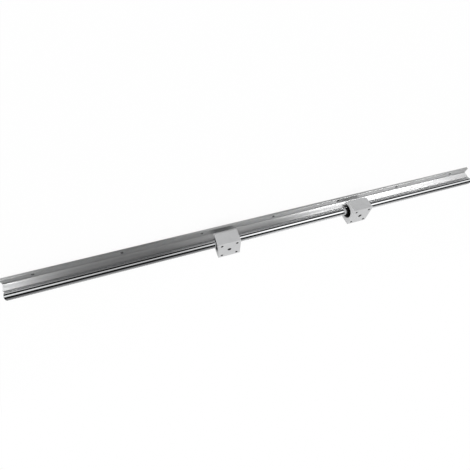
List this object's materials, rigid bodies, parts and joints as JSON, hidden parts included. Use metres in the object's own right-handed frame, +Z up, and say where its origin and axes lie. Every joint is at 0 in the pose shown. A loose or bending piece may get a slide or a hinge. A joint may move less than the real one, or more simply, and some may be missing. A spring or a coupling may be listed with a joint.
{
  "type": "supported round rail",
  "caption": "Round guide shaft screwed along its whole length to an aluminium support with a drilled flange, with open ball-bearing blocks that slide along it.",
  "frame": {"origin": "middle of the support's underside: half way along the rail, on its centre line, on the plane it is bolted to", "axes": "+X along the rail, from the end nearer the first block to the other; +Z up, out of the blocks' mounting faces; +Y across the rail"},
  "size_m": [1, 0.045, 0.045],
  "materials": {
    "support_aluminium": "clear-anodised extrusion, satin",
    "shaft_chrome": "ground and hard-chromed steel, polished",
    "housing_aluminium": "fine matt, clear-anodised",
    "bearing_steel": "ground bearing steel",
    "ball_steel": "polished bearing balls",
    "cage_plastic": "moulded acetal",
    "seal_rubber": "black nitrile rubber",
    "black_screw_steel": "black-oxide alloy steel"
  },
  "bodies": {
    "rail": {"support_rail": "support_aluminium", "shaft": "shaft_chrome", "shaft_screw_1": "black_screw_steel", "shaft_screw_2": "black_screw_steel", "shaft_screw_3": "black_screw_steel", "shaft_screw_4": "black_screw_steel", "shaft_screw_5": "black_screw_steel", "shaft_screw_6": "black_screw_steel", "shaft_screw_7": "black_screw_steel"},
    "carriage_1": {"block_1_housing": "housing_aluminium", "block_1_sleeve": "bearing_steel", "block_1_cage": "cage_plastic", "block_1_balls": "ball_steel", "block_1_seal_left": "seal_rubber", "block_1_seal_right": "seal_rubber", "block_1_set_screw": "black_screw_steel"},
    "carriage_2": {"block_2_housing": "housing_aluminium", "block_2_sleeve": "bearing_steel", "block_2_cage": "cage_plastic", "block_2_balls": "ball_steel", "block_2_seal_left": "seal_rubber", "block_2_seal_right": "seal_rubber", "block_2_set_screw": "black_screw_steel"}
  },
  "joints": [
    {"name": "carriage_1_slide", "type": "slide", "parent": "rail", "child": "carriage_1", "axis": [1, 0, 0], "range_m": [-0.369, 0.123]},
    {"name": "carriage_2_slide", "type": "slide", "parent": "rail", "child": "carriage_2", "axis": [1, 0, 0], "range_m": [-0.123, 0.288]}
  ]
}
